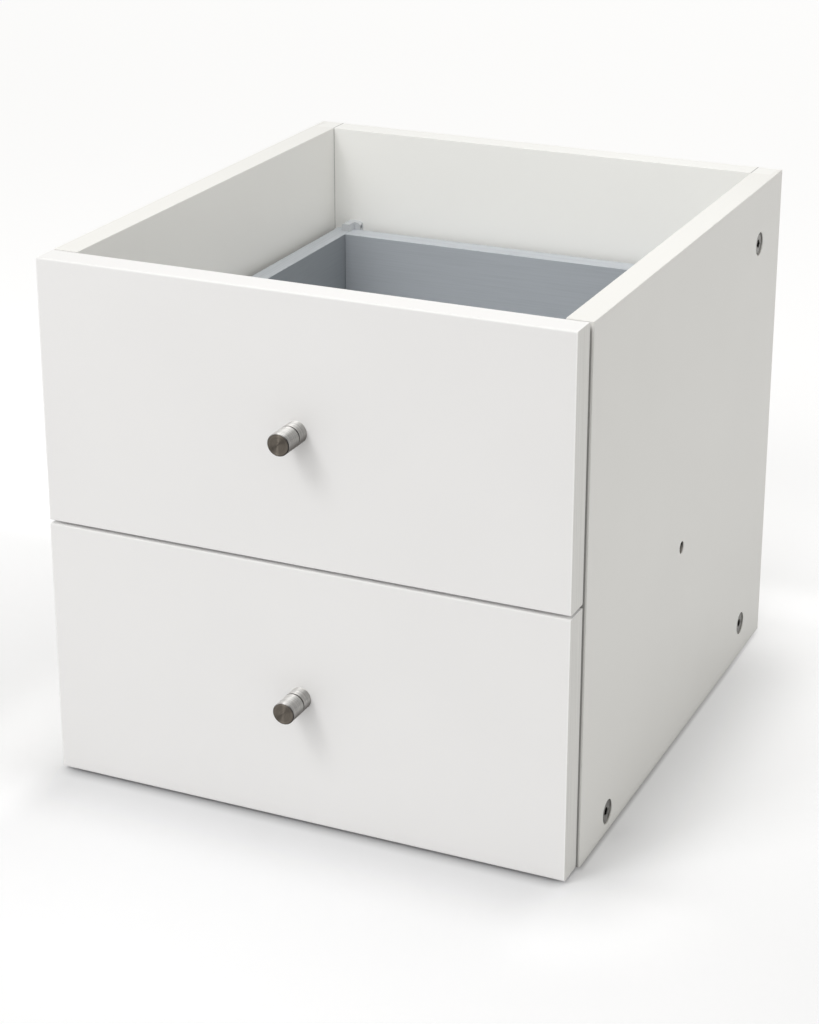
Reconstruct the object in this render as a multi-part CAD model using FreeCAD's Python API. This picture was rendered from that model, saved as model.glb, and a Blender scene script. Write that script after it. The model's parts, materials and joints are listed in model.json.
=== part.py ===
import FreeCAD, Part
import math
import os

# Shelf drawer insert: an open-topped frame that slides into a square shelf opening,
# with two drawers of the same make, one above the other.
# Millimetres. X runs from left to right, Y from the drawer fronts to the back, and Z up.
# The origin is at the middle of the base of the whole insert, knobs included.

Vector = FreeCAD.Vector

# Overall size, without the knobs
overall_width = 330.0
overall_depth = 370.0
overall_height = 326.0

# Boards of the frame
side_thickness = 16.0
back_thickness = 16.0
rail_thickness = 16.0
rail_height = 26.0
lap_thickness = 3.0
side_top_drop = 0.6
frame_round = 0.4

# Drawer fronts
front_thickness = 18.0
front_floor_gap = 2.0
front_gap = 2.0
front_frame_gap = 3.0
front_side_inset = 1.3
front_round = 1.2

# Drawer boxes
box_height = 66.0
box_side_thickness = 12.0
box_back_thickness = 14.0
box_side_gap = 5.0
box_rear_gap = 5.0
rail_clearance = 1.5
box_round = 0.5

# Drawer bottoms, which sit in grooves all round
bottom_thickness = 3.0
bottom_lift = 9.0
bottom_groove_depth = 5.0
bottom_play = 0.1

# Runners, whose tongues carry the drawers in grooves along their sides
runner_height = 26.0
runner_drop = 30.0
runner_front_setback = 4.0
runner_rear_setback = 8.0
runner_side_play = 0.7
tongue_height = 14.0
tongue_reach = 5.2
groove_side_play = 0.8
groove_play_below = 0.8
runner_screw_count = 3
runner_screw_margin = 36.0
runner_screw_bite = 11.0

# Drawer travel and the stops that end it
drawer_travel = 250.0
stop_radius = 5.0
stop_height = 4.0
stop_stem_radius = 2.5
stop_stem_length = 10.0
stop_clearance = 0.3

# Clips on the rear corners of the drawer boxes
clip_drop = 14.0
clip_wing = 3.5
clip_reach = 22.0
clip_peg_radius = 2.0
clip_peg_length = 6.0
clip_peg_drop = 8.0
clip_peg_inset = 4.0
clip_top_drop = 2.0
lug_inset = 6.6
lug_height = 5.0
lug_end_height = 3.6
lug_reach = 10.2
lug_shoulder = 1.2
lug_crown = 5.8
lug_bow = 0.4
lug_leg_length = 7.6
lug_wall = 1.0

# Knobs and their screws
knob_radius = 6.7
knob_length = 22.0
knob_foot_length = 8.4
knob_groove_width = 1.1
knob_groove_depth = 0.9
knob_chamfer = 0.5
knob_hole_depth = 12.0
knob_screw_radius = 2.0
knob_screw_hole_play = 0.5
knob_screw_bite = 10.0
knob_screw_head_radius = 4.0
knob_screw_head_height = 2.4

# Wood screws
screw_radius = 1.75
screw_head_radius = 3.6
back_screw_bite = 24.0
back_screw_drop = 16.0
back_screw_lift = 18.0
drive_depth = 1.2
drive_width = 0.8
drive_reach = 2.0

# Cam locks of the frame, set into the outer faces of the side panels
frame_cam_radius = 7.5
frame_cam_length = 12.5
frame_cam_recess = 0.7
frame_cam_setback = 45.0
frame_bolt_inset = 9.5
rear_cam_lift = 23.0
rear_cam_drop = 38.0
hex_across_flats = 5.0
hex_depth = 4.5

# Cam locks of the drawer boxes, set into the outer faces of the box sides
box_cam_radius = 6.0
box_cam_length = 9.0
box_cam_recess = 0.3
box_cam_setback = 24.0
box_cam_drop = 12.0
box_bolt_inset = 6.0
box_hex_depth = 3.0

# Cam bolts
bolt_head_radius = 2.8
bolt_head_length = 3.0
bolt_neck_radius = 1.8
bolt_radius = 3.0
bolt_thread_radius = 2.6
bolt_thread_length = 11.0
bolt_play = 0.2

# Dowels
frame_dowel_radius = 4.0
frame_dowel_length = 30.0
frame_dowel_bite = 10.0
dowel_lift = 100.0
dowel_drop = 100.0
box_dowel_radius = 3.0
box_dowel_length = 30.0
box_dowel_bite = 10.0
box_dowel_lift = 18.0
dowel_chamfer = 0.8
dowel_end_play = 1.0

# Hole in each side panel for the screw that holds the insert in its shelf
fixing_hole_radius = 4.0
fixing_hole_setback = 182.0
fixing_hole_lift = 132.0

# Clearance around whatever is pressed, screwed or glued into a hole
seat_play = 0.05

# How far a cutting shape runs past the face that it opens
overrun = 1.0

# Places across the width, for the right-hand side
outer_x = overall_width / 2
inner_x = outer_x - side_thickness
front_end_x = outer_x - front_side_inset
lap_x = outer_x - lap_thickness
frame_bolt_x = outer_x - frame_bolt_inset
box_outer_x = inner_x - box_side_gap
box_inner_x = box_outer_x - box_side_thickness
box_bolt_x = box_outer_x - box_bolt_inset
tongue_x = box_outer_x - tongue_reach
lug_outer_x = box_outer_x - lug_inset
lug_crown_x = lug_outer_x - lug_crown
lug_end_x = lug_outer_x - lug_reach

# Places from front to back
front_face_y = -(overall_depth - knob_length) / 2
front_back_y = front_face_y + front_thickness
frame_front_y = front_back_y + front_frame_gap
rail_back_y = frame_front_y + rail_thickness
frame_back_y = front_face_y + overall_depth
back_inner_y = frame_back_y - back_thickness
box_rear_y = back_inner_y - box_rear_gap
box_back_inner_y = box_rear_y - box_back_thickness
front_cam_y = frame_front_y + frame_cam_setback
rear_cam_y = frame_back_y - frame_cam_setback
box_cam_y = front_back_y + box_cam_setback
back_screw_y = box_rear_y - box_back_thickness / 2
fixing_hole_y = frame_back_y - fixing_hole_setback
stop_y = box_rear_y - drawer_travel - stop_clearance - stop_radius
runner_front_y = frame_front_y + runner_front_setback
runner_rear_y = back_inner_y - runner_rear_setback

# Heights, those of the drawers for the lower one
side_top_z = overall_height - side_top_drop
front_height = (overall_height - front_floor_gap - front_gap) / 2
drawer_pitch = front_height + front_gap
front_bottom_z = front_floor_gap
front_middle_z = front_bottom_z + front_height / 2
box_bottom_z = rail_height + rail_clearance
box_top_z = box_bottom_z + box_height
bottom_z = box_bottom_z + bottom_lift
runner_z = box_top_z - runner_drop
rear_cam_heights = (rear_cam_lift, side_top_z - rear_cam_drop)
rail_cam_z = rail_height / 2
frame_dowel_heights = (dowel_lift, side_top_z - dowel_drop)
box_cam_z = box_top_z - box_cam_drop
box_dowel_z = box_bottom_z + box_dowel_lift
back_screw_heights = (box_bottom_z + back_screw_lift, box_top_z - back_screw_drop)
clip_bottom_z = box_top_z - clip_drop
clip_top_z = box_top_z - clip_top_drop
clip_peg_z = box_top_z - clip_peg_drop
clip_peg_x = box_inner_x - clip_peg_inset
stop_z = (clip_bottom_z + clip_top_z) / 2


# Basic shapes

def block(x0, x1, y0, y1, z0, z1):
    return Part.makeBox(x1 - x0, y1 - y0, z1 - z0, Vector(x0, y0, z0))


def board(x0, x1, y0, y1, z0, z1, edge_round):
    plain = block(x0, x1, y0, y1, z0, z1)
    return plain.makeFillet(edge_round, plain.Edges)


def long_board(x0, x1, y0, y1, z0, z1, edge_round):
    # A board rounded along X, with square ends
    plain = block(x0, x1, y0, y1, z0, z1)
    long_edges = [edge for edge in plain.Edges if edge.BoundBox.XLength > edge_round]
    return plain.makeFillet(edge_round, long_edges)


def rod(radius, start, end):
    run = Vector(*end) - Vector(*start)
    return Part.makeCylinder(radius, run.Length, Vector(*start), run)


def rod_along_x(radius, x0, x1, y, z):
    return rod(radius, (x0, y, z), (x1, y, z))


def rod_along_y(radius, x, y0, y1, z):
    return rod(radius, (x, y0, z), (x, y1, z))


def joined(shapes):
    return shapes[0].multiFuse(shapes[1:]).removeSplitter()


def mirrored(shape):
    return shape.mirror(Vector(0, 0, 0), Vector(1, 0, 0))


def both_sides(shapes):
    return shapes + [mirrored(shape) for shape in shapes]


def raised(shape):
    return shape.translated(Vector(0, 0, drawer_pitch))


def hexagon_along_x(across_flats, x0, x1, y, z):
    corner_radius = across_flats / math.sqrt(3)
    corners = []
    for turn in range(7):
        angle = math.radians(60 * turn)
        corners.append(Vector(x0, y + corner_radius * math.cos(angle), z + corner_radius * math.sin(angle)))
    return Part.Face(Part.makePolygon(corners)).extrude(Vector(x1 - x0, 0, 0))


def cross_drive(x, y, z, direction):
    # The cross cut into a screw head at this point, running along the given direction
    depth = Vector(*direction) * drive_depth
    slots = []
    for long_axis in (Vector(0, 0, 1), Vector(0, 0, 1).cross(Vector(*direction))):
        wide_axis = long_axis.cross(Vector(*direction))
        corner = Vector(x, y, z) - long_axis * drive_reach - wide_axis * (drive_width / 2)
        corners = [corner]
        corners.append(corner + long_axis * 2 * drive_reach)
        corners.append(corners[1] + wide_axis * drive_width)
        corners.append(corner + wide_axis * drive_width)
        slots.append(Part.Face(Part.makePolygon(corners + [corner])).extrude(depth))
    return joined(slots)


# Fasteners

def countersunk_screw(head_x, tip_x, y, z, play):
    # A wood screw from its head's face inwards. With play it is the hole that the screw needs.
    inwards = math.copysign(1, tip_x - head_x)
    neck_x = head_x + inwards * (screw_head_radius - screw_radius)
    head = Part.makeCone(screw_head_radius + play, screw_radius + play, screw_head_radius - screw_radius,
                         Vector(head_x, y, z), Vector(inwards, 0, 0))
    shank = rod_along_x(screw_radius + play, neck_x, tip_x, y, z)
    return joined([head, shank])


def cam_lock(face_x, length, radius, socket_depth, bolt_x, y, z, towards):
    # A round lock set in from the right, with a pocket that holds the head of its bolt
    pocket_half = bolt_head_length / 2 + bolt_play
    body = rod_along_x(radius, face_x - length, face_x, y, z)
    socket = hexagon_along_x(hex_across_flats, face_x - socket_depth, face_x + overrun, y, z)
    pocket = rod_along_y(bolt_head_radius + bolt_play, bolt_x, y - pocket_half, y + pocket_half, z)
    mouth = rod_along_y(bolt_neck_radius + bolt_play, bolt_x, y, y + towards * (radius + overrun), z)
    return body.cut(socket).cut(pocket).cut(mouth)


def cam_bolt(x, cam_y, cam_radius, joint_y, z):
    # The bolt whose head sits in a cam lock and whose thread is driven past the joint
    towards = math.copysign(1, joint_y - cam_y)
    head_half = bolt_head_length / 2
    neck_end = cam_y + towards * (cam_radius + bolt_play)
    head = rod_along_y(bolt_head_radius, x, cam_y - head_half, cam_y + head_half, z)
    neck = rod_along_y(bolt_neck_radius, x, cam_y, neck_end, z)
    shank = rod_along_y(bolt_radius, x, neck_end, joint_y, z)
    thread = rod_along_y(bolt_thread_radius, x, joint_y, joint_y + towards * bolt_thread_length, z)
    return joined([head, neck, shank, thread])


def dowel(radius, x, y0, y1, z):
    plain = rod_along_y(radius, x, y0, y1, z)
    ends = [edge for edge in plain.Edges if isinstance(edge.Curve, Part.Circle)]
    return plain.makeChamfer(dowel_chamfer, ends)


# Frame

def frame_cam_places():
    # Where the frame's cam locks sit: (y, z, the joint that the bolt crosses)
    places = [(front_cam_y, rail_cam_z, rail_back_y)]
    for height in rear_cam_heights:
        places.append((rear_cam_y, height, back_inner_y))
    return places


def runner_screw_places():
    first = runner_front_y + runner_screw_margin
    last = runner_rear_y - runner_screw_margin
    step = (last - first) / (runner_screw_count - 1)
    return [first + step * index for index in range(runner_screw_count)]


def frame_dowel_span():
    return (back_inner_y + frame_dowel_bite - frame_dowel_length, back_inner_y + frame_dowel_bite)


def side_panel():
    panel = board(inner_x, outer_x, frame_front_y, frame_back_y, 0, side_top_z, frame_round)
    # Rebates behind the lap, for the back panel and for the end of the rail
    panel = panel.cut(block(inner_x - overrun, lap_x, back_inner_y, frame_back_y + overrun,
                            -overrun, side_top_z + overrun))
    panel = panel.cut(block(inner_x - overrun, lap_x, frame_front_y - overrun, rail_back_y,
                            -overrun, rail_height))
    cam_depth = frame_cam_recess + frame_cam_length
    for y, z, joint_y in frame_cam_places():
        panel = panel.cut(rod_along_x(frame_cam_radius + seat_play, outer_x - cam_depth, outer_x + overrun, y, z))
        panel = panel.cut(rod_along_y(bolt_radius + bolt_play, frame_bolt_x, y, joint_y, z))
    dowel_front, dowel_rear = frame_dowel_span()
    for z in frame_dowel_heights:
        panel = panel.cut(rod_along_y(frame_dowel_radius + seat_play, frame_bolt_x,
                                      dowel_front - dowel_end_play, dowel_rear, z))
    for lift in (0, drawer_pitch):
        for y in runner_screw_places():
            panel = panel.cut(rod_along_x(screw_radius + seat_play, inner_x - overrun,
                                          inner_x + runner_screw_bite, y, runner_z + lift))
        panel = panel.cut(rod_along_x(stop_stem_radius + seat_play, inner_x - overrun,
                                      inner_x + stop_stem_length, stop_y, stop_z + lift))
    return panel.cut(rod_along_x(fixing_hole_radius, inner_x - overrun, outer_x + overrun,
                                 fixing_hole_y, fixing_hole_lift))


def back_panel():
    panel = board(-lap_x, lap_x, back_inner_y, frame_back_y, 0, side_top_z, frame_round)
    thread_end = back_inner_y + bolt_thread_length
    dowel_end = back_inner_y + frame_dowel_bite + dowel_end_play
    holes = []
    for z in rear_cam_heights:
        holes.append(rod_along_y(bolt_thread_radius + seat_play, frame_bolt_x, back_inner_y - overrun, thread_end, z))
    for z in frame_dowel_heights:
        holes.append(rod_along_y(frame_dowel_radius + seat_play, frame_bolt_x, back_inner_y - overrun, dowel_end, z))
    for hole in both_sides(holes):
        panel = panel.cut(hole)
    return panel


def front_bottom_rail():
    rail = board(-lap_x, lap_x, frame_front_y, rail_back_y, 0, rail_height, frame_round)
    hole = rod_along_y(bolt_thread_radius + seat_play, frame_bolt_x,
                       rail_back_y - bolt_thread_length, rail_back_y + overrun, rail_cam_z)
    for each in both_sides([hole]):
        rail = rail.cut(each)
    return rail


def frame_cam_locks():
    locks = []
    for y, z, joint_y in frame_cam_places():
        locks.append(cam_lock(outer_x - frame_cam_recess, frame_cam_length, frame_cam_radius, hex_depth,
                              frame_bolt_x, y, z, math.copysign(1, joint_y - y)))
    return locks


def frame_cam_bolts():
    return [cam_bolt(frame_bolt_x, y, frame_cam_radius, joint_y, z) for y, z, joint_y in frame_cam_places()]


def frame_dowels():
    dowel_front, dowel_rear = frame_dowel_span()
    dowels = [dowel(frame_dowel_radius, frame_bolt_x, dowel_front, dowel_rear, z) for z in frame_dowel_heights]
    return both_sides(dowels)


def runner():
    base = block(box_outer_x + runner_side_play, inner_x, runner_front_y, runner_rear_y,
                 runner_z - runner_height / 2, runner_z + runner_height / 2)
    tongue = block(tongue_x, inner_x, runner_front_y, runner_rear_y,
                   runner_z - tongue_height / 2, runner_z + tongue_height / 2)
    strip = joined([base, tongue])
    for y in runner_screw_places():
        strip = strip.cut(countersunk_screw(tongue_x, inner_x + overrun, y, runner_z, seat_play))
    return strip


def runner_screws():
    screws = []
    for y in runner_screw_places():
        screw = countersunk_screw(tongue_x, inner_x + runner_screw_bite, y, runner_z, 0)
        screws.append(screw.cut(cross_drive(tongue_x, y, runner_z, (1, 0, 0))))
    return screws


def drawer_stop():
    head = rod_along_x(stop_radius, inner_x - stop_height, inner_x, stop_y, stop_z)
    stem = rod_along_x(stop_stem_radius, inner_x, inner_x + stop_stem_length, stop_y, stop_z)
    return joined([head, stem])


# Drawers, built for the lower one

def drawer_front():
    front = long_board(-front_end_x, front_end_x, front_face_y, front_back_y,
                       front_bottom_z, front_bottom_z + front_height, front_round)
    groove_x = box_inner_x + bottom_groove_depth
    front = front.cut(block(-groove_x, groove_x, front_back_y - bottom_groove_depth, front_back_y + overrun,
                            bottom_z, bottom_z + bottom_thickness + bottom_play))
    front = front.cut(rod_along_y(knob_screw_radius + knob_screw_hole_play, 0,
                                  front_face_y - overrun, front_back_y + overrun, front_middle_z))
    bolt_hole = rod_along_y(bolt_thread_radius + seat_play, box_bolt_x,
                            front_back_y - bolt_thread_length, front_back_y + overrun, box_cam_z)
    dowel_hole = rod_along_y(box_dowel_radius + seat_play, box_bolt_x,
                             front_back_y - box_dowel_bite - dowel_end_play, front_back_y + overrun, box_dowel_z)
    for hole in both_sides([bolt_hole, dowel_hole]):
        front = front.cut(hole)
    return front


def box_side():
    side = board(box_inner_x, box_outer_x, front_back_y, box_rear_y, box_bottom_z, box_top_z, box_round)
    side = side.cut(block(tongue_x - groove_side_play, box_outer_x + overrun,
                          front_back_y - overrun, box_rear_y + overrun,
                          runner_z - tongue_height / 2 - groove_play_below, runner_z + tongue_height / 2))
    side = side.cut(block(box_inner_x - overrun, box_inner_x + bottom_groove_depth,
                          front_back_y - overrun, box_back_inner_y + bottom_groove_depth,
                          bottom_z, bottom_z + bottom_thickness + bottom_play))
    cam_depth = box_cam_recess + box_cam_length
    side = side.cut(rod_along_x(box_cam_radius + seat_play, box_outer_x - cam_depth, box_outer_x + overrun,
                                box_cam_y, box_cam_z))
    side = side.cut(rod_along_y(bolt_radius + bolt_play, box_bolt_x, front_back_y - overrun, box_cam_y, box_cam_z))
    dowel_end = front_back_y - box_dowel_bite + box_dowel_length + dowel_end_play
    side = side.cut(rod_along_y(box_dowel_radius + seat_play, box_bolt_x,
                                front_back_y - overrun, dowel_end, box_dowel_z))
    for z in back_screw_heights:
        side = side.cut(countersunk_screw(box_outer_x, box_inner_x - overrun, back_screw_y, z, seat_play))
    return side


def box_back():
    back = board(-box_inner_x, box_inner_x, box_back_inner_y, box_rear_y, box_bottom_z, box_top_z, box_round)
    back = back.cut(block(-box_inner_x - overrun, box_inner_x + overrun,
                          box_back_inner_y - overrun, box_back_inner_y + bottom_groove_depth,
                          bottom_z, bottom_z + bottom_thickness + bottom_play))
    holes = [rod_along_y(clip_peg_radius + seat_play, clip_peg_x,
                         box_rear_y - clip_peg_length, box_rear_y + overrun, clip_peg_z)]
    for z in back_screw_heights:
        holes.append(rod_along_x(screw_radius + seat_play, box_inner_x - back_screw_bite,
                                 box_inner_x + overrun, back_screw_y, z))
    for hole in both_sides(holes):
        back = back.cut(hole)
    return back


def drawer_bottom():
    reach = bottom_groove_depth - bottom_play
    return block(-box_inner_x - reach, box_inner_x + reach, front_back_y - reach, box_back_inner_y + reach,
                 bottom_z, bottom_z + bottom_thickness)


def back_screws():
    screws = []
    for z in back_screw_heights:
        screw = countersunk_screw(box_outer_x, box_inner_x - back_screw_bite, back_screw_y, z, 0)
        screws.append(screw.cut(cross_drive(box_outer_x, back_screw_y, z, (-1, 0, 0))))
    return both_sides(screws)


def front_cams():
    cam = cam_lock(box_outer_x - box_cam_recess, box_cam_length, box_cam_radius, box_hex_depth,
                   box_bolt_x, box_cam_y, box_cam_z, -1)
    return both_sides([cam])


def front_cam_bolts():
    return both_sides([cam_bolt(box_bolt_x, box_cam_y, box_cam_radius, front_back_y, box_cam_z)])


def front_dowels():
    start = front_back_y - box_dowel_bite
    return both_sides([dowel(box_dowel_radius, box_bolt_x, start, start + box_dowel_length, box_dowel_z)])


def lug_profile(y):
    # The arched outline of the lug, in a plane across the insert
    crown_z = box_top_z + lug_height
    tip_z = box_top_z + lug_end_height
    shoulder_x = lug_outer_x - lug_shoulder
    shoulder_z = crown_z - lug_shoulder
    bend = lug_shoulder * math.sqrt(0.5)
    foot = Vector(lug_outer_x, y, clip_bottom_z)
    shoulder = Vector(lug_outer_x, y, shoulder_z)
    crown_start = Vector(shoulder_x, y, crown_z)
    crown_end = Vector(lug_crown_x, y, crown_z)
    tip = Vector(lug_end_x, y, tip_z)
    tip_foot = Vector(lug_end_x, y, clip_bottom_z)
    slope_middle = (crown_end + tip) / 2 + Vector(0, 0, lug_bow)
    edges = [
        Part.LineSegment(foot, shoulder).toShape(),
        Part.Arc(shoulder, Vector(shoulder_x + bend, y, shoulder_z + bend), crown_start).toShape(),
        Part.LineSegment(crown_start, crown_end).toShape(),
        Part.Arc(crown_end, slope_middle, tip).toShape(),
        Part.LineSegment(tip, tip_foot).toShape(),
        Part.LineSegment(tip_foot, foot).toShape(),
    ]
    return Part.Face(Part.Wire(edges))


def rear_clip():
    # The lug stands behind the box, with a leg forward over the end of the box side
    lug = lug_profile(box_rear_y).extrude(Vector(0, back_inner_y - box_rear_y, 0))
    leg = lug_profile(box_rear_y - lug_leg_length).extrude(Vector(0, lug_leg_length, 0))
    leg = leg.common(block(lug_crown_x, lug_outer_x, box_rear_y - lug_leg_length, box_rear_y,
                           box_top_z, box_top_z + lug_height))
    plate = block(box_outer_x - clip_reach, box_outer_x + clip_wing, box_rear_y, back_inner_y,
                  clip_bottom_z, clip_top_z)
    peg = rod_along_y(clip_peg_radius, clip_peg_x, box_rear_y - clip_peg_length, box_rear_y, clip_peg_z)
    hollow = block(lug_end_x - overrun, lug_crown_x, box_rear_y + lug_wall,
                   back_inner_y - lug_wall, box_top_z, box_top_z + lug_end_height - lug_wall)
    return joined([lug, leg, plate, peg]).cut(hollow)


def knob():
    tip_y = front_face_y - knob_length
    groove_front_y = front_face_y - knob_foot_length - knob_groove_width
    groove_back_y = front_face_y - knob_foot_length
    neck_radius = knob_radius - knob_groove_depth
    outline = [
        (0, tip_y),
        (knob_radius - knob_chamfer, tip_y),
        (knob_radius, tip_y + knob_chamfer),
        (knob_radius, groove_front_y),
        (neck_radius, groove_front_y),
        (neck_radius, groove_back_y),
        (knob_radius, groove_back_y),
        (knob_radius, front_face_y),
        (0, front_face_y),
        (0, tip_y),
    ]
    section = Part.Face(Part.makePolygon([Vector(x, y, front_middle_z) for x, y in outline]))
    turned = section.revolve(Vector(0, 0, front_middle_z), Vector(0, 1, 0), 360)
    return turned.cut(rod_along_y(knob_screw_radius + seat_play, 0,
                                  front_face_y - knob_hole_depth, front_face_y + overrun, front_middle_z))


def knob_screw():
    head = rod_along_y(knob_screw_head_radius, 0, front_back_y, front_back_y + knob_screw_head_height, front_middle_z)
    shank = rod_along_y(knob_screw_radius, 0, front_face_y - knob_screw_bite, front_back_y, front_middle_z)
    drive = cross_drive(0, front_back_y + knob_screw_head_height, front_middle_z, (0, -1, 0))
    return joined([head, shank]).cut(drive)


# Writing the pieces

def save(name, solids):
    shape = solids[0] if len(solids) == 1 else Part.makeCompound(solids)
    shape.exportStep("parts/" + name + ".step")


def save_pair(name, solids):
    save("right_" + name, solids)
    save("left_" + name, [mirrored(solid) for solid in solids])


def save_frame():
    save_pair("side_panel", [side_panel()])
    save("back_panel", [back_panel()])
    save("front_bottom_rail", [front_bottom_rail()])
    save("back_panel_dowels", frame_dowels())
    save_pair("cam_locks", frame_cam_locks())
    save_pair("cam_bolts", frame_cam_bolts())
    save_pair("lower_runner", [runner()])
    save_pair("upper_runner", [raised(runner())])
    save_pair("lower_runner_screws", runner_screws())
    save_pair("upper_runner_screws", [raised(screw) for screw in runner_screws()])
    save_pair("drawer_stops", [drawer_stop(), raised(drawer_stop())])


def drawer_pieces():
    pieces = {
        "front": [drawer_front()],
        "left_side": [mirrored(box_side())],
        "right_side": [box_side()],
        "back": [box_back()],
        "bottom": [drawer_bottom()],
        "left_rear_clip": [mirrored(rear_clip())],
        "right_rear_clip": [rear_clip()],
        "knob": [knob()],
        "knob_screw": [knob_screw()],
        "front_cams": front_cams(),
        "front_cam_bolts": front_cam_bolts(),
        "front_dowels": front_dowels(),
        "back_screws": back_screws(),
    }
    return pieces


os.makedirs("parts", exist_ok=True)
save_frame()
for piece, solids in drawer_pieces().items():
    save("lower_drawer_" + piece, solids)
    save("upper_drawer_" + piece, [raised(solid) for solid in solids])
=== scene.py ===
import json
import math

import bmesh
import bpy
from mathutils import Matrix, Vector


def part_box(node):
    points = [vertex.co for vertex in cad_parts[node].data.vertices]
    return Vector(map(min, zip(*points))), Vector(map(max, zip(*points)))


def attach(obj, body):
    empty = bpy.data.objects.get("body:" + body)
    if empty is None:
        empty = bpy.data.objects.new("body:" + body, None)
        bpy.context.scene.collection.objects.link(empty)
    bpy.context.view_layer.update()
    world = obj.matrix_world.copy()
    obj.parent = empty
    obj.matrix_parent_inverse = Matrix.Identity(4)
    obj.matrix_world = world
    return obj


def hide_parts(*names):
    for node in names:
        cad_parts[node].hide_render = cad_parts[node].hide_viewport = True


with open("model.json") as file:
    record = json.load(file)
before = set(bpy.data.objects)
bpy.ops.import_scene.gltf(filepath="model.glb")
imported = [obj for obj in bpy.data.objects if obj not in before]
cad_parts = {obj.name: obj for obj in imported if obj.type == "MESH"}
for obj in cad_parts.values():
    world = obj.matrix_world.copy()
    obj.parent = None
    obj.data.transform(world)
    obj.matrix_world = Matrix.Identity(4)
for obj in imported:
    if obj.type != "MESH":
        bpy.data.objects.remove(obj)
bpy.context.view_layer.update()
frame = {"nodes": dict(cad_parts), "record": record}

MM = 0.001


# Colours, where a pair runs from the darker grains to the lighter ones

WHITE = (0.905, 0.9, 0.9)
# Painted shade and light: the side panels' white is a darker, warmer copy of the foil for the shade on them,
# and the back panel's white is a lighter copy for the light on it
WHITE_SHADED_FOR_SIDES = (0.885, 0.88, 0.855)
WHITE_LIT_FOR_BACK = (0.925, 0.925, 0.905)
GREY = (0.4, 0.428, 0.463)
# Painted shade: a darker copy of the grey foil for the drawer sides, for the shade inside the boxes
GREY_SHADED_FOR_SIDES = (0.27, 0.293, 0.318)
GREY_EDGE = (0.575, 0.605, 0.64)
CHIPS = ((0.13, 0.11, 0.09), (0.3, 0.265, 0.22))
# Painted light and shade in bored holes: lighter chips where a hole's mouth is lit, near black for the shade
# deeper in
CHIPS_PAINTED_LIT = ((0.5, 0.475, 0.44), (0.72, 0.7, 0.66))
HOLE_PAINTED_SHADE = (0.008, 0.007, 0.006)
FIBREBOARD = ((0.12, 0.065, 0.033), (0.31, 0.19, 0.105))
FIBREBOARD_PRINT = (0.68, 0.69, 0.695)
STEEL = (0.7, 0.69, 0.67)
# Painted shade and reflection on the knob: near black where it faces down and on its bevel, dark brown on
# its end face
STEEL_PAINTED_SHADE_BELOW = (0.1, 0.09, 0.08)
STEEL_BEVEL_PAINTED_DARK = (0.03, 0.027, 0.025)
STEEL_TIP_PAINTED_DARK = (0.17, 0.15, 0.127)
ZINC = (0.36, 0.36, 0.35)
CAST_ZINC = (0.21, 0.205, 0.195)
# Painted shade: near black for the inside of the cam sockets
SOCKET_PAINTED_SHADE = (0.025, 0.024, 0.022)
FITTING = (0.62, 0.64, 0.66)
BEECH = ((0.52, 0.34, 0.19), (0.74, 0.55, 0.36))
BEECH_FLECK = (0.33, 0.18, 0.09)
BLACK = (0, 0, 0)

LIGHTEST = 0.97
WHITE_ROUGHNESS = 0.3
GREY_ROUGHNESS = 0.45
FOIL_THICKNESS = 0.5 * MM
# Most values of a noise lie between these
NOISE_SPAN = (0.3, 0.7)


# Node helpers

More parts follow.
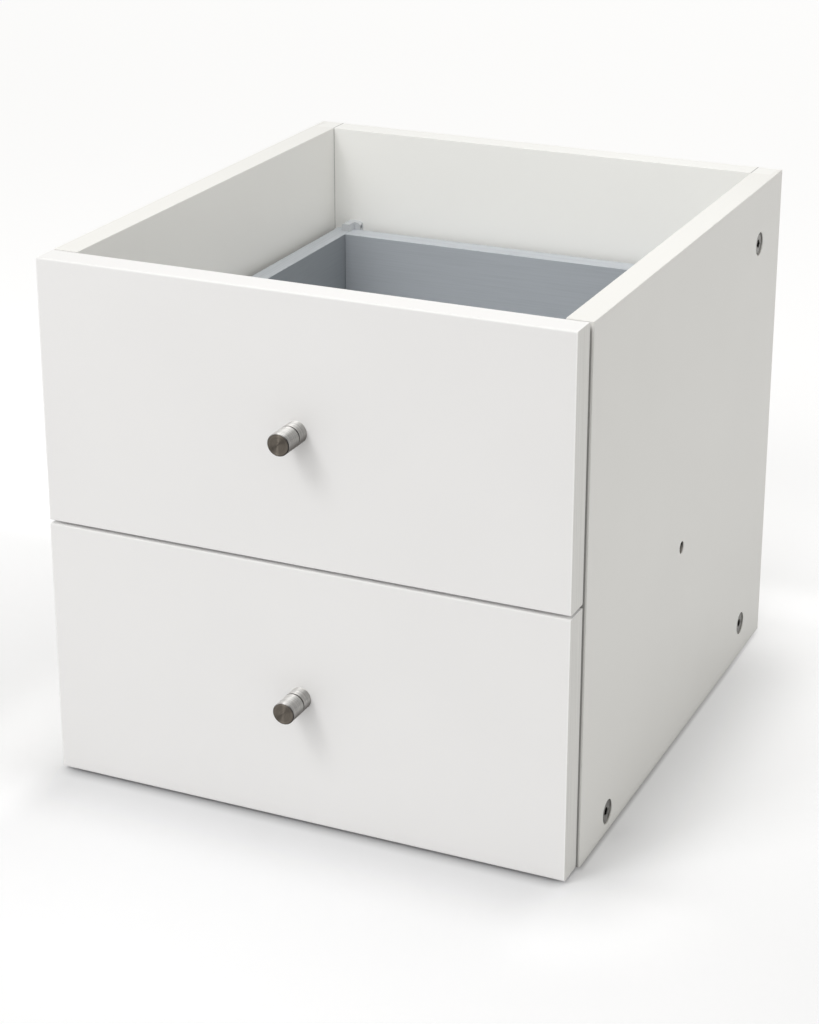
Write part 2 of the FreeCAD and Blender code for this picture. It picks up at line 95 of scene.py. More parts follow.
class Shader:
    """A material whose nodes are added by short calls. Its places are those of the frame, in metres."""

    def __init__(self, name):
        self.material = bpy.data.materials.new(name)
        self.material.use_nodes = True
        self.tree = self.material.node_tree
        self.principled = self.tree.nodes["Principled BSDF"]
        self.place = self.add("ShaderNodeTexCoord").outputs["Object"]

    def add(self, kind, inputs=None, **settings):
        node = self.tree.nodes.new(kind)
        for key, value in settings.items():
            setattr(node, key, value)
        for key, value in (inputs or {}).items():
            self.set(node.inputs[key], value)
        return node

    def set(self, socket, value):
        if isinstance(value, bpy.types.NodeSocket):
            self.tree.links.new(value, socket)
        elif socket.type == "RGBA" and len(value) == 3:
            socket.default_value = (*value, 1)
        else:
            socket.default_value = value

    def surface(self, name, value):
        self.set(self.principled.inputs[name], value)

    def math(self, operation, a, b=0.0, c=0.0, clamp=False):
        node = self.add("ShaderNodeMath", {0: a, 1: b, 2: c}, operation=operation, use_clamp=clamp)
        return node.outputs[0]

    def product(self, first, *others):
        for other in others:
            first = self.math("MULTIPLY", first, other)
        return first

    def vector(self, operation, a, b=(0, 0, 0), output="Vector"):
        return self.add("ShaderNodeVectorMath", {0: a, 1: b}, operation=operation).outputs[output]

    def axes(self, vector=None):
        # The X, Y and Z of a vector, or else of the point's place
        return self.add("ShaderNodeSeparateXYZ", {0: self.place if vector is None else vector}).outputs

    def off_middle(self):
        # How far the point is from the object's middle plane, to the left or right
        return self.math("ABSOLUTE", self.axes()[0])

    def upward(self):
        # How much the surface faces up: 1 upwards, 0 level and -1 downwards
        return self.axes(self.add("ShaderNodeNewGeometry").outputs["Normal"])[2]

    def ramp(self, value, low, high, out_low=0.0, out_high=1.0):
        inputs = {"Value": value, "From Min": low, "From Max": high, "To Min": out_low, "To Max": out_high}
        return self.add("ShaderNodeMapRange", inputs, interpolation_type="SMOOTHSTEP").outputs[0]

    def mix(self, share, a, b):
        # A mix node's sockets for two numbers are 2 and 3, for two vectors 4 and 5, for two colours 6 and 7
        return self.add("ShaderNodeMix", {0: share, 6: a, 7: b}, data_type="RGBA").outputs[2]

    def mix_vectors(self, share, a, b):
        return self.add("ShaderNodeMix", {0: share, 4: a, 5: b}, data_type="VECTOR").outputs[1]

    def mix_numbers(self, share, a, b):
        return self.add("ShaderNodeMix", {0: share, 2: a, 3: b}).outputs[0]

    def in_units(self, size, stretch):
        # The place in units of this size, in metres, stretched along the axes
        return self.vector("MULTIPLY", self.place, tuple(axis / size for axis in stretch))

    def noise(self, size, detail=2.0, roughness=0.5, stretch=(1, 1, 1)):
        # Values about 0.5 in blotches of this size
        place = self.in_units(size, stretch)
        inputs = {"Vector": place, "Scale": 1.0, "Detail": detail, "Roughness": roughness}
        return self.add("ShaderNodeTexNoise", inputs).outputs["Fac"]

    def cells(self, size, output="Distance", stretch=(1, 1, 1)):
        place = self.in_units(size, stretch)
        return self.add("ShaderNodeTexVoronoi", {"Vector": place, "Scale": 1.0}).outputs[output]

    def bump(self, height, depth, under=None):
        # A relief this deep in metres, where height runs from 0 to 1
        inputs = {"Strength": 1.0, "Distance": depth, "Height": height}
        if under is not None:
            inputs["Normal"] = under
        return self.add("ShaderNodeBump", inputs).outputs[0]

    def shade_about(self, colour, share, amount):
        # The colour, darker and lighter by this amount as share runs from 0 to 1
        dark = tuple(channel * (1 - amount) for channel in colour)
        light = tuple(min(1, channel * (1 + amount)) for channel in colour)
        return self.mix(self.ramp(share, *NOISE_SPAN), dark, light)


def scaled(colour, factor):
    return tuple(min(LIGHTEST, channel * factor) for channel in colour)


# Foiled particle board

def depth_in_box(shader, low, high):
    # How far each point lies inside the box, and how near it is to the box's edges
    here = shader.axes()
    gaps = []
    for axis in range(3):
        from_low = shader.math("SUBTRACT", here[axis], low[axis])
        from_high = shader.math("SUBTRACT", high[axis], here[axis])
        gaps.append(shader.math("MINIMUM", from_low, from_high))
    least = shader.math("MINIMUM", shader.math("MINIMUM", gaps[0], gaps[1]), gaps[2])
    most = shader.math("MAXIMUM", shader.math("MAXIMUM", gaps[0], gaps[1]), gaps[2])
    total = shader.math("ADD", shader.math("ADD", gaps[0], gaps[1]), gaps[2])
    middle = shader.math("SUBTRACT", shader.math("SUBTRACT", total, least), most)
    return least, middle


def outer_face(low, high):
    # How far a side panel's outer face is from the object's middle plane
    return max(abs(low[0]), abs(high[0]))


def depth_from_outside(shader, low, high):
    # How far each point of a side panel lies behind the panel's outer face
    return shader.math("SUBTRACT", outer_face(low, high), shader.off_middle())


def front_edges(shader, foil, colour, high, edge_gap):
    """The rounded long edges carry a painted highlight, and the band on each end takes the side panels'
    painted-shade white, streaked and a little darker still.
    """
    # Painted highlight: the foil is lighter on the rounded edges
    foil = shader.mix(shader.ramp(edge_gap, 0.1 * MM, 1.2 * MM, 0.8, 0), foil, scaled(colour, 1.08))
    streaks = shader.noise(1.3 * MM, detail=3, stretch=(1, 1, 0.015))
    # The end band starts from the side panels' painted-shade white
    band = shader.mix(shader.ramp(streaks, 0.35, 0.65), scaled(WHITE_SHADED_FOR_SIDES, 0.9), scaled(WHITE_SHADED_FOR_SIDES, 0.97))
    at_end = shader.ramp(shader.off_middle(), high[0] - 0.12 * MM, high[0] - 0.04 * MM)
    return shader.mix(at_end, foil, band)


def corner_seams(shader, foil, colour):
    """A hairline along each inner corner, where the back panel butts against the side panels."""
    low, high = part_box("right_side_panel")
    inner_x = min(abs(low[0]), abs(high[0]))
    off_seam = shader.math("ABSOLUTE", shader.math("SUBTRACT", shader.off_middle(), inner_x))
    return shader.mix(shader.ramp(off_seam, 0.25 * MM, 0.6 * MM, 0.75, 0), foil, scaled(colour, 0.35))


def painted_shade_in_gap(shader, foil, low, high):
    """Painted shade: a side panel's front edge is painted darker behind the drawer fronts, where they shade
    it, than the strip that shows beside them.
    """
    inwards = depth_from_outside(shader, low, high)
    front_inset = outer_face(low, high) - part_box("lower_drawer_front")[1][0]
    _, along, height = shader.axes()
    behind_front = shader.ramp(inwards, front_inset - 0.2 * MM, front_inset + 0.1 * MM)
    at_edge = shader.ramp(along, low[1] + 0.15 * MM, low[1] + 0.5 * MM, 1, 0)
    under_top = shader.ramp(height, high[2] - 6 * MM, high[2] - 1.5 * MM, 0.5, 0)
    # Painted shade: up to half black behind the fronts, fading out towards the top
    return shader.mix(shader.product(behind_front, at_edge, under_top), foil, BLACK)


def foil_colour(shader, node, colour, edge_colour, edge_gap):
    low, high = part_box(node)
    foil = shader.shade_about(colour, shader.noise(90 * MM, detail=1), 0.005)
    if edge_colour is not None:
        at_top = shader.ramp(shader.axes()[2], high[2] - 0.5 * MM, high[2] - 0.25 * MM)
        foil = shader.mix(at_top, foil, edge_colour)
    near_edge = shader.ramp(edge_gap, 0, 1.6 * MM, 1, 0)
    handled = shader.product(near_edge, shader.ramp(shader.noise(7 * MM, detail=4), 0.52, 0.7), 0.5)
    foil = shader.mix(handled, foil, scaled(colour, 0.94))
    if node.endswith("drawer_front"):
        return front_edges(shader, foil, colour, high, edge_gap)
    if node == "back_panel":
        return corner_seams(shader, foil, colour)
    if node.endswith("side_panel"):
        return painted_shade_in_gap(shader, foil, low, high)
    return foil


def chip_colour(shader, node):
    """Brown chips. Those of a hole in a side panel carry painted light and shade: lighter at its mouth and
    on walls that face up, near black deeper in and where its walls don't face up.
    """
    chips = shader.cells(1.6 * MM, "Color", stretch=(1, 0.5, 0.6))
    tone = shader.add("ShaderNodeSeparateColor", {0: chips}).outputs[0]
    if not node.endswith("side_panel"):
        return shader.mix(tone, *CHIPS)
    inwards = depth_from_outside(shader, *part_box(node))
    deep = shader.ramp(inwards, 1 * MM, 5 * MM)
    # Painted shade deep in the hole and on its walls that don't face up
    unlit = shader.math("MAXIMUM", deep, shader.ramp(shader.upward(), -0.3, 0.7, 0.9, 0))
    return shader.mix(unlit, shader.mix(tone, *CHIPS_PAINTED_LIT), HOLE_PAINTED_SHADE)


def board(name, node, colour, roughness, edge_colour=None, grain_axis=None):
    """Particle board under foil: bare chips show only where the board is bored, grooved or rebated."""
    shader = Shader(name)
    depth, edge_gap = depth_in_box(shader, *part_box(node))
    foil = foil_colour(shader, node, colour, edge_colour, edge_gap)
    peel = shader.bump(shader.noise(0.9 * MM, detail=2), 0.006 * MM)
    relief = shader.bump(shader.noise(40 * MM, detail=0), 0.012 * MM, peel)
    if grain_axis is not None:
        stretch = [1, 1, 1]
        stretch[grain_axis] = 0.02
        streaks = shader.noise(0.8 * MM, detail=3, stretch=stretch)
        foil = shader.mix(shader.ramp(streaks, 0.35, 0.75, 0, 0.22), foil, scaled(colour, 0.7))
        relief = shader.bump(streaks, 0.008 * MM, relief)
    cloud = shader.noise(35 * MM, detail=2)
    foil_roughness = shader.ramp(cloud, 0.2, 0.8, roughness - 0.02, roughness + 0.02)
    crumbs = shader.bump(shader.cells(0.9 * MM), 0.25 * MM)
    bare = shader.ramp(depth, FOIL_THICKNESS - 0.05 * MM, FOIL_THICKNESS + 0.1 * MM)
    shader.surface("Base Color", shader.mix(bare, foil, chip_colour(shader, node)))
    shader.surface("Roughness", shader.math("MULTIPLY_ADD", bare, 0.45, foil_roughness, clamp=True))
    shader.surface("Normal", shader.mix_vectors(bare, relief, crumbs))
    shader.surface("IOR", 1.36)
    shader.surface("Specular IOR Level", 0.25)
    return shader.material


# Other materials

def fibreboard(name, node):
    """Thin fibreboard, printed pale grey on top and bare brown below."""
    shader = Shader(name)
    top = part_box(node)[1][2]
    above = shader.ramp(shader.axes()[2], top - 0.4 * MM, top - 0.2 * MM)
    printed = shader.shade_about(FIBREBOARD_PRINT, shader.noise(60 * MM, detail=4), 0.015)
    fibres = shader.noise(1.2 * MM, detail=6, roughness=0.7, stretch=(0.35, 1, 1))
    shader.surface("Base Color", shader.mix(above, shader.mix(fibres, *FIBREBOARD), printed))
    shader.surface("Roughness", shader.ramp(above, 0, 1, 0.85, 0.5))
    shader.surface("Normal", shader.bump(fibres, 0.05 * MM))
    return shader.material


def metal(name, colour, roughness, grain_size, grain_depth, blotch=0.08):
    """Plated or cast metal with a fine dull grain."""
    shader = Shader(name)
    shader.surface("Metallic", 1.0)
    cloud = shader.noise(2.5 * MM, detail=5, roughness=0.6)
    shader.surface("Base Color", shader.shade_about(colour, cloud, blotch))
    wear = shader.noise(1.1 * MM, detail=4)
    shader.surface("Roughness", shader.ramp(wear, *NOISE_SPAN, roughness - 0.07, roughness + 0.09))
    shader.surface("Normal", shader.bump(shader.noise(grain_size, detail=3), grain_depth))
    return shader.material


def lathe_marks(shader, radius, from_tip):
    # Rings round the axis on an end face, and round the side, fine ones over coarse ones
    place = shader.add("ShaderNodeCombineXYZ", {0: radius, 1: from_tip}).outputs[0]
    layers = []
    for pitch, detail in ((0.12 * MM, 4.0), (0.6 * MM, 1.0)):
        inputs = {"Vector": place, "Scale": 1 / pitch, "Detail": detail}
        layers.append(shader.add("ShaderNodeTexNoise", inputs).outputs["Fac"])
    fine, coarse = layers
    return shader.math("MULTIPLY_ADD", coarse, 0.4, shader.math("MULTIPLY", fine, 0.6))


def turned_steel(name, node):
    """Steel turned on a lathe, with painted shade below and on a near-black bevel round its end face, and
    its end face painted dark brown as a painted dark reflection.
    """
    shader = Shader(name)
    low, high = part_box(node)
    x, y, z = shader.axes(shader.vector("SUBTRACT", shader.place, (low + high) / 2))
    radius = shader.math("SQRT", shader.math("ADD", shader.product(x, x), shader.product(z, z)))
    from_tip = shader.math("SUBTRACT", y, (low[1] - high[1]) / 2)
    marks = lathe_marks(shader, radius, from_tip)
    upward = shader.upward()
    body = shader.shade_about(STEEL, marks, 0.4)
    # Painted shade: the steel turns near black where it faces down
    body = shader.mix(shader.ramp(upward, -0.5, 0.75, 0.9, 0), body, STEEL_PAINTED_SHADE_BELOW)
    off_tip = shader.ramp(from_tip, 0.02 * MM, 0.08 * MM)
    # Painted shade: the bevel by the end face turns near black, most of all below
    bevel = shader.product(off_tip, shader.ramp(from_tip, 0.5 * MM, 0.6 * MM, 1, 0),
                           shader.ramp(upward, 0.1, 0.8, 0.9, 0.1))
    body = shader.mix(bevel, body, STEEL_BEVEL_PAINTED_DARK)
    # The end face is painted dark brown, a painted dark reflection
    shader.surface("Base Color", shader.mix(off_tip, shader.shade_about(STEEL_TIP_PAINTED_DARK, marks, 0.5), body))
    shader.surface("Metallic", 1.0)
    shader.surface("Roughness", shader.ramp(marks, *NOISE_SPAN, 0.42, 0.52))
    shader.surface("Anisotropic", 0.95)
    shader.surface("Anisotropic Rotation", 0.25)
    shader.surface("Tangent", shader.add("ShaderNodeTangent", direction_type="RADIAL", axis="Y").outputs[0])
    shader.surface("Normal", shader.bump(marks, 0.03 * MM))
    return shader.material


def plastic(name, colour, roughness):
    """Moulded plastic with a fine spark-eroded texture."""
    shader = Shader(name)
    shader.surface("Base Color", shader.shade_about(colour, shader.noise(12 * MM, detail=3), 0.02))
    cloud = shader.noise(4 * MM, detail=4)
    shader.surface("Roughness", shader.ramp(cloud, *NOISE_SPAN, roughness - 0.06, roughness + 0.06))
    shader.surface("Normal", shader.bump(shader.noise(0.35 * MM, detail=2), 0.02 * MM))
    return shader.material


def beech(name):
    """Raw beech with its grain along the dowel and short dark flecks."""
    shader = Shader(name)
    grain = shader.noise(0.7 * MM, detail=5, roughness=0.65, stretch=(1, 0.06, 1))
    flecks = shader.ramp(shader.cells(0.9 * MM, stretch=(1, 0.25, 1)), 0.0, 0.16, 1, 0)
    wood = shader.mix(grain, *BEECH)
    shader.surface("Base Color", shader.mix(shader.product(flecks, 0.5), wood, BEECH_FLECK))
    shader.surface("Roughness", 0.72)
    shader.surface("Normal", shader.bump(grain, 0.05 * MM))
    return shader.material


# The CAD's pieces, each in the material of its slot

def white_board(node):
    # The side panels take the painted-shade copy of the white, and the back panel takes the painted-light
    # copy
    colours = {"left_side_panel": WHITE_SHADED_FOR_SIDES, "right_side_panel": WHITE_SHADED_FOR_SIDES, "back_panel": WHITE_LIT_FOR_BACK}
    return board("white_" + node, node, colours.get(node, WHITE), WHITE_ROUGHNESS)


def grey_board(node):
    low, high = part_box(node)
    longest = max(range(3), key=lambda axis: high[axis] - low[axis])
    # The drawer sides take the painted-shade copy of the grey
    colour = GREY_SHADED_FOR_SIDES if node.endswith("side") else GREY
    return board("grey_" + node, node, colour, GREY_ROUGHNESS, GREY_EDGE, longest)


zinc = metal("zinc", ZINC, roughness=0.42, grain_size=0.4 * MM, grain_depth=0.03 * MM)
fitting = plastic("fitting_plastic", FITTING, roughness=0.5)
dowel_wood = beech("beech")
makers = {
    "white_foil": white_board,
    "drawer_foil": grey_board,
    "drawer_bottom": lambda node: fibreboard("fibreboard_" + node, node),
    "knob_steel": lambda node: turned_steel("turned_" + node, node),
    "zinc_steel": lambda node: zinc,
    "fitting_plastic": lambda node: fitting,
    "beech_dowel": lambda node: dowel_wood,
}
for entry in frame["record"]["subparts"]:
    mesh = frame["nodes"][entry["node"]].data
    mesh.materials.clear()
    mesh.materials.append(makers[entry["material_slot"]](entry["node"]))


# Cam locks, whose places are those of the CAD: (y, z) in the side panels, and (x, y, z) in the lower drawer

FRAME_CAM_RADIUS = 7.5 * MM
FRAME_CAM_LENGTH = 12.5 * MM
FRAME_CAM_FACE_X = 164.3 * MM
FRAME_CAM_PLACES = ((-0.108, 0.013), (0.151, 0.023), (0.151, 0.2874))
DRAWER_CAM_RADIUS = 6.0 * MM
DRAWER_CAM_LENGTH = 9.0 * MM
DRAWER_CAM_PLACE = (0.1437, -0.132, 0.0815)
DRAWER_PITCH = 0.163

CAM_SEGMENTS = 48
CAM_CHAMFER = 0.35 * MM
CAM_FACE_DROP = 0.05 * MM
CAM_GROOVE_DEPTH = 0.3 * MM
SOCKET_HALF_FLATS = 2.5 * MM
SOCKET_CHAMFER = 0.35 * MM
SOCKET_DEPTH = 4.5 * MM
ARROW_LIFT = 0.12 * MM

# Shares of the cam's radius
GROOVE_RADII = (0.87, 0.84, 0.8, 0.77)
ARROW_TIP = 0.78
ARROW_FOOT = 0.5
ARROW_HALF_WIDTH = 0.14

CAST_GRAIN = 0.5 * MM

cast_zinc = metal("cast_zinc", CAST_ZINC, 0.4, CAST_GRAIN, grain_depth=0.04 * MM, blotch=0.3)
# Painted shade: the hexagon sockets' metal is near black for the shade inside them
socket_shade_metal = metal("socket_painted_dark", SOCKET_PAINTED_SHADE, 0.6, CAST_GRAIN, grain_depth=0.05 * MM)


def ring(radius_at, depth):
    # Points round a cam's axis, at this depth below its face, in the order of their angle
    points = []
    for step in range(CAM_SEGMENTS):
        angle = 2 * math.pi * step / CAM_SEGMENTS
        radius = radius_at(angle)
        points.append((-depth, radius * math.cos(angle), radius * math.sin(angle)))
    return points


def round_ring(radius, depth):
    return ring(lambda angle: radius, depth)


def hexagon_ring(half_flats, depth):
    sixth = math.pi / 3
    return ring(lambda angle: half_flats / math.cos(angle % sixth - sixth / 2), depth)


def cam_rings(radius, length):
    """From the back along the outside, then over the face and its groove to the bottom of the socket."""
    rim, groove_out, groove_in, face = (share * radius for share in GROOVE_RADII)
    return [
        round_ring(radius, length),
        round_ring(radius, CAM_CHAMFER),
        round_ring(radius - CAM_CHAMFER, 0),
        round_ring(rim, 0),
        round_ring(groove_out, CAM_GROOVE_DEPTH),
        round_ring(groove_in, CAM_GROOVE_DEPTH),
        round_ring(face, CAM_FACE_DROP),
        hexagon_ring(SOCKET_HALF_FLATS + SOCKET_CHAMFER, CAM_FACE_DROP),
        hexagon_ring(SOCKET_HALF_FLATS, CAM_FACE_DROP + SOCKET_CHAMFER),
        hexagon_ring(SOCKET_HALF_FLATS, SOCKET_DEPTH),
    ]


def arrow_on_face(verts, faces, radius):
    # A small raised arrow head between the socket and the rim
    tip, foot, half_width = ARROW_TIP * radius, ARROW_FOOT * radius, ARROW_HALF_WIDTH * radius
    first = len(verts)
    for x in (-CAM_GROOVE_DEPTH, ARROW_LIFT - CAM_FACE_DROP):
        verts.extend([(x, tip, 0), (x, foot, half_width), (x, foot, -half_width)])
    faces.append((first, first + 1, first + 2))
    faces.append((first + 3, first + 4, first + 5))
    for a in range(3):
        b = (a + 1) % 3
        faces.append((first + a, first + b, first + 3 + b, first + 3 + a))


def cam_head(radius, length, place):
    """A die-cast cam lock along X: chamfered rim, ringed face, arrow and hexagon socket."""
    x, y, z = place
    side = math.copysign(1, x)
    rings = cam_rings(radius, length)
    verts = [point for each in rings for point in each]
    faces = [tuple(range(CAM_SEGMENTS))]
    for level in range(len(rings) - 1):
        for step in range(CAM_SEGMENTS):
            a = level * CAM_SEGMENTS + step
            b = level * CAM_SEGMENTS + (step + 1) % CAM_SEGMENTS
            faces.append((a, b, b + CAM_SEGMENTS, a + CAM_SEGMENTS))
    last = (len(rings) - 1) * CAM_SEGMENTS
    faces.append(tuple(reversed(range(last, last + CAM_SEGMENTS))))
    # The socket's faces, which get the painted-shade metal
    in_socket = range(len(faces) - CAM_SEGMENTS - 1, len(faces))
    arrow_on_face(verts, faces, radius)
    placed = [(x + side * point[0], y + point[1], z + point[2]) for point in verts]
    return placed, faces, in_socket


def cam_heads(name, body, node, radius, length, places):
    verts, faces, dark = [], [], []
    for place in places:
        new_verts, new_faces, in_socket = cam_head(radius, length, place)
        dark.extend(len(faces) + index for index in in_socket)
        faces.extend(tuple(len(verts) + index for index in face) for face in new_faces)
        verts.extend(new_verts)
    mesh = bpy.data.meshes.new(name)
    mesh.from_pydata(verts, [], faces)
    mesh.materials.append(cast_zinc)
    mesh.materials.append(socket_shade_metal)
    # The socket faces take the painted-shade metal
    for index in dark:
        mesh.polygons[index].material_index = 1
    shape = bmesh.new()
    shape.from_mesh(mesh)
    bmesh.ops.recalc_face_normals(shape, faces=shape.faces)
    shape.to_mesh(mesh)
    shape.free()
    piece = bpy.data.objects.new(name, mesh)
    bpy.context.scene.collection.objects.link(piece)
    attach(piece, body)
    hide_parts(node)


for side, sign in (("left", -1), ("right", 1)):
    places = [(sign * FRAME_CAM_FACE_X, y, z) for y, z in FRAME_CAM_PLACES]
    cam_heads(side + "_cam_heads", "frame", side + "_cam_locks", FRAME_CAM_RADIUS, FRAME_CAM_LENGTH, places)
cam_x, cam_y, cam_z = DRAWER_CAM_PLACE
for level, lift in (("lower", 0), ("upper", DRAWER_PITCH)):
    places = [(sign * cam_x, cam_y, cam_z + lift) for sign in (-1, 1)]
    cam_heads(level + "_drawer_cam_heads", level + "_drawer", level + "_drawer_front_cams",
              DRAWER_CAM_RADIUS, DRAWER_CAM_LENGTH, places)


# Floor

FLOOR_COLOUR = (0.895, 0.9, 0.92)
FLOOR_REACH = 12.0
# How much the floor glows: far off it makes the backdrop white, while near the object and at its corners it
# is painted light over the object's shadow
FLOOR_LIFT_AROUND = 0.18
FLOOR_LIFT_BEHIND = 0.205
FLOOR_LIFT_BEYOND = 0.06
FLOOR_LIFT_REAR_RIGHT = 0.15
FLOOR_LIFT_REAR_CORNER = 0.2
FLOOR_LIFT_FRONT_LEFT = 0.17
FLOOR_LIFT_FRONT_RIGHT = 0.1
# How dark the painted contact shadow gets beside the side panels and before the drawer fronts
CONTACT_PAINTED_SHADOW = 0.4
CONTACT_PAINTED_SHADOW_AHEAD = 0.28


def seen_directly(shader):
    # 1 for rays that show the background itself: from the camera, off metal, or through glass
    path = shader.add("ShaderNodeLightPath").outputs
    first = shader.math("MAXIMUM", path["Is Camera Ray"], path["Is Glossy Ray"])
    return shader.math("MAXIMUM", first, path["Is Transmission Ray"])


def about_footprint(shader, low, high):
    """How far each point is outside the footprint, past its nearer end, and ahead of its front."""
    middle = (0, (low[1] + high[1]) / 2, 0)
    half = (high[0], (high[1] - low[1]) / 2, 0)
    off_middle = shader.vector("ABSOLUTE", shader.vector("SUBTRACT", shader.place, middle))
    beyond = shader.vector("SUBTRACT", off_middle, half)
    away = shader.vector("LENGTH", shader.vector("MAXIMUM", beyond), output="Value")
    return away, shader.axes(beyond)[0], shader.math("SUBTRACT", low[1], shader.axes()[1])


def floor_glow_with_painted_light(shader, high, away, ahead):
    """A glow the floor shows besides the light on it: more farther off, where it whitens the backdrop, and
    painted light near the object and at the corners that are seen, where it lightens the object's shadow.
    """
    x, y, _ = shader.axes()
    end_x, rear_y = high[0], high[1]
    around = shader.ramp(away, 0, 70 * MM)
    behind = shader.ramp(y, -0.1, 0.4)
    beyond = shader.ramp(y, 0.2, 3.0)
    past_end = shader.ramp(x, end_x, end_x + 135 * MM)
    rear_right = shader.product(past_end, shader.ramp(y, -0.2, 0.3))
    from_rear = shader.ramp(y, rear_y - 86 * MM, rear_y + 4 * MM)
    near_rear = shader.ramp(y, rear_y + 19 * MM, rear_y + 94 * MM, 1, 0)
    near_end = shader.ramp(x, end_x + 10 * MM, end_x + 70 * MM, 1, 0)
    rear_corner = shader.product(from_rear, near_rear, near_end)
    near = shader.ramp(away, 15 * MM, 110 * MM, 1, 0)
    at_left = shader.ramp(x, -0.18, -0.15, 1, 0)
    at_right = shader.ramp(x, 0.14, 0.18)
    front_left = shader.product(near, at_left, shader.ramp(ahead, -0.2, -0.03))
    front_right = shader.product(near, at_right, shader.ramp(ahead, -0.02, 0.01))
    parts = (
        (around, FLOOR_LIFT_AROUND),
        (behind, FLOOR_LIFT_BEHIND),
        (beyond, FLOOR_LIFT_BEYOND),
        (rear_right, FLOOR_LIFT_REAR_RIGHT),
        (rear_corner, FLOOR_LIFT_REAR_CORNER),
        (front_left, FLOOR_LIFT_FRONT_LEFT),
        (front_right, FLOOR_LIFT_FRONT_RIGHT),
    )
    lift = 0.0
    for share, amount in parts:
        lift = shader.math("MULTIPLY_ADD", share, amount, lift)
    return lift


def painted_contact_shadow(shader, high, away, past_end, ahead):
    """Painted shadow on the floor: the dark line beside the side panels, and the soft band under and before
    the drawer fronts.
    """
    under_front = shader.ramp(ahead, -8 * MM, -5 * MM)
    close_ahead = shader.ramp(ahead, -2 * MM, 9 * MM, 1, 0)
    before_end = shader.ramp(past_end, -10 * MM, 3 * MM, CONTACT_PAINTED_SHADOW_AHEAD, 0)
    band = shader.product(under_front, close_ahead, before_end)
    close = shader.ramp(away, 0, 3.5 * MM, CONTACT_PAINTED_SHADOW, 0)
    beside = shader.ramp(past_end, -1 * MM, 0)
    behind_front = shader.ramp(ahead, -24 * MM, -16 * MM, 1, 0)
    before_rear = shader.ramp(shader.axes()[1], high[1] - 15 * MM, high[1] - 1 * MM, 1, 0.25)
    line = shader.product(close, beside, behind_front, before_rear)
    return shader.math("MAXIMUM", line, band)


def make_floor():
    corners = [(x * FLOOR_REACH, y * FLOOR_REACH, 0) for x, y in ((-1, -1), (1, -1), (1, 1), (-1, 1))]
    mesh = bpy.data.meshes.new("floor")
    mesh.from_pydata(corners, [], [(0, 1, 2, 3)])
    floor = bpy.data.objects.new("floor", mesh)
    bpy.context.scene.collection.objects.link(floor)
    shader = Shader("floor")
    low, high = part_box("lower_drawer_front")[0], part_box("right_side_panel")[1]
    away, past_end, ahead = about_footprint(shader, low, high)
    dark = painted_contact_shadow(shader, high, away, past_end, ahead)
    # Painted shadow: the floor's colour turns towards black near the object
    shader.surface("Base Color", shader.mix(dark, FLOOR_COLOUR, BLACK))
    shader.surface("Roughness", 0.9)
    shader.surface("Specular IOR Level", 0.0)
    shader.surface("Emission Color", (1, 1, 1))
    lift = floor_glow_with_painted_light(shader, high, away, ahead)
    # Painted light: the glow shows only to the camera, on metal and through glass
    shader.surface("Emission Strength", shader.product(seen_directly(shader), lift))
    mesh.materials.append(shader.material)


make_floor()


# World and lamps

WORLD_LIGHT = 0.519
WORLD_TINT = (1, 0.985, 0.94)
BRIGHT_SIDE = (-0.75, 0.1, 0.65)
DIM_ROOM = 0.12
TOP_OF_FRAME = (0, 0.02, 0.33)
MIDDLE_OF_FRONTS = (0, -0.17, 0.16)


class WorldShader(Shader):
    """The same short calls for the world's nodes, where the place is a direction."""

    def __init__(self, name):
        self.world = bpy.data.worlds.new(name)
        self.world.use_nodes = True
        self.tree = self.world.node_tree
        self.place = self.add("ShaderNodeTexCoord").outputs["Generated"]


def make_world():
    """A white room towards the back, above and to the left, whose front is dim. It lights evenly."""
    shader = WorldShader("studio")
    bpy.context.scene.world = shader.world
    towards = shader.vector("DOT_PRODUCT", shader.place, BRIGHT_SIDE, output="Value")
    bright_side = shader.ramp(towards, 0.1, 0.7, DIM_ROOM, 1)
    room = shader.math("MAXIMUM", bright_side, shader.ramp(shader.axes()[1], 0, 0.3))
    direct = seen_directly(shader)
    is_glossy = shader.add("ShaderNodeLightPath").outputs["Is Glossy Ray"]
    plain = shader.ramp(direct, 0, 1, WORLD_LIGHT, 1)
    background = shader.tree.nodes["Background"]
    shader.set(background.inputs["Strength"], shader.mix_numbers(is_glossy, plain, room))
    shader.set(background.inputs["Color"], shader.mix(direct, WORLD_TINT, (1, 1, 1)))


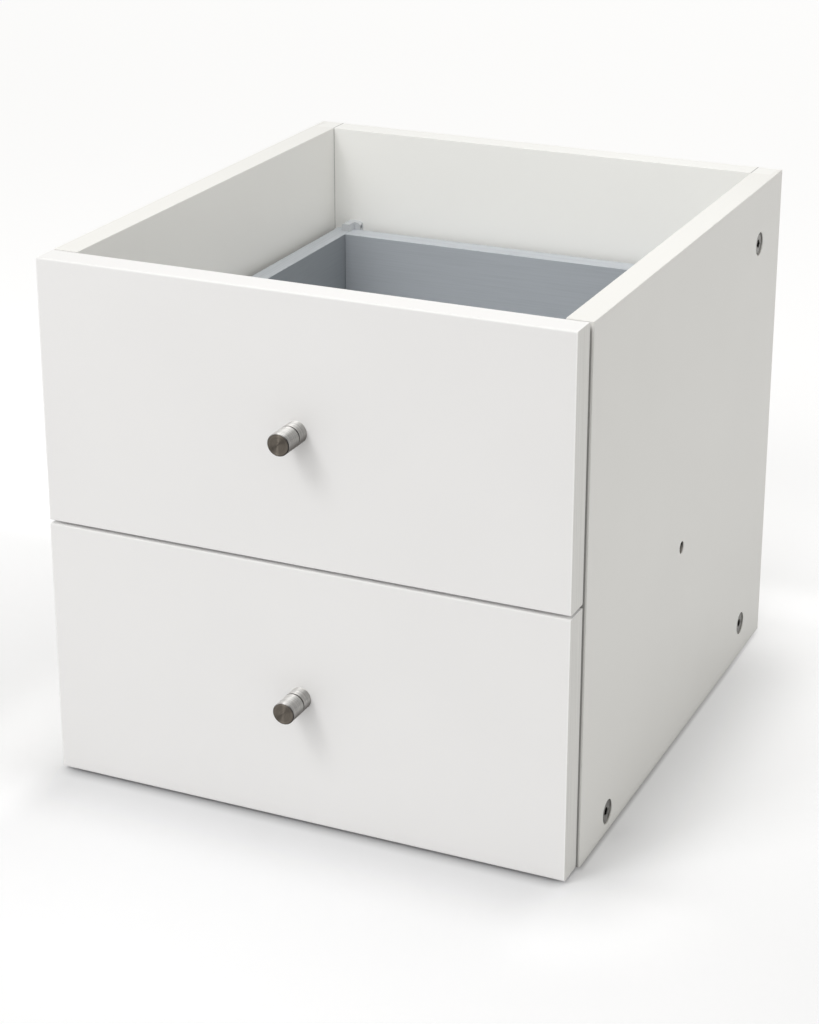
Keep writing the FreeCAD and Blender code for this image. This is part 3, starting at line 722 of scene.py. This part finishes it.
def place_lamp(name, data, place, run):
    lamp = bpy.data.objects.new(name, data)
    bpy.context.scene.collection.objects.link(lamp)
    lamp.location = place
    lamp.rotation_mode = "QUATERNION"
    lamp.rotation_quaternion = run.to_track_quat("-Z", "Y")


def make_sun(name, towards_light, level, spread):
    # A far lamp, whose level is that of a white card held square to it, and its spread in degrees
    data = bpy.data.lights.new(name, "SUN")
    data.energy = level * math.pi
    data.angle = math.radians(spread)
    place_lamp(name, data, (0, 0, 0), -Vector(towards_light))


def make_panel(name, place, target, size, level):
    # A square soft lamp, whose level is that of a white card held square to it at the target
    data = bpy.data.lights.new(name, "AREA")
    data.shape = "SQUARE"
    data.size = size
    run = Vector(target) - Vector(place)
    data.energy = level * math.pi ** 2 * run.length_squared
    place_lamp(name, data, place, run)


make_world()
make_sun("front_fill", towards_light=(-0.15, -0.85, 0.5), level=0.149, spread=40)
make_panel("key", place=(-0.45, -1.0, 1.25), target=MIDDLE_OF_FRONTS, size=0.45, level=0.219)
make_panel("overhead", place=(0.15, 0, 0.95), target=TOP_OF_FRAME, size=0.35, level=0.385)


# Camera

FOCAL_LENGTH_PX = 2416.6
FRAME_HEIGHT_PX = 1024
SENSOR_MM = 36
CAMERA_PLACE = (0.5716, -1.2843, 0.714)
CAMERA_AZIMUTH = 24.37
CAMERA_ELEVATION = 20.05
CAMERA_SHIFT_Y = -0.1
CAMERA_REACH = 100


def make_camera():
    data = bpy.data.cameras.new("camera")
    data.sensor_width = SENSOR_MM
    data.lens = FOCAL_LENGTH_PX * SENSOR_MM / FRAME_HEIGHT_PX
    data.shift_y = CAMERA_SHIFT_Y
    data.clip_end = CAMERA_REACH
    camera = bpy.data.objects.new("camera", data)
    bpy.context.scene.collection.objects.link(camera)
    azimuth = math.radians(CAMERA_AZIMUTH)
    elevation = math.radians(CAMERA_ELEVATION)
    level_part = math.cos(elevation)
    back = Vector((math.sin(azimuth) * level_part, -math.cos(azimuth) * level_part, math.sin(elevation)))
    camera.location = CAMERA_PLACE
    camera.rotation_mode = "QUATERNION"
    camera.rotation_quaternion = (-back).to_track_quat("-Z", "Y")
    bpy.context.scene.camera = camera


make_camera()
bpy.context.scene.view_settings.view_transform = "Standard"
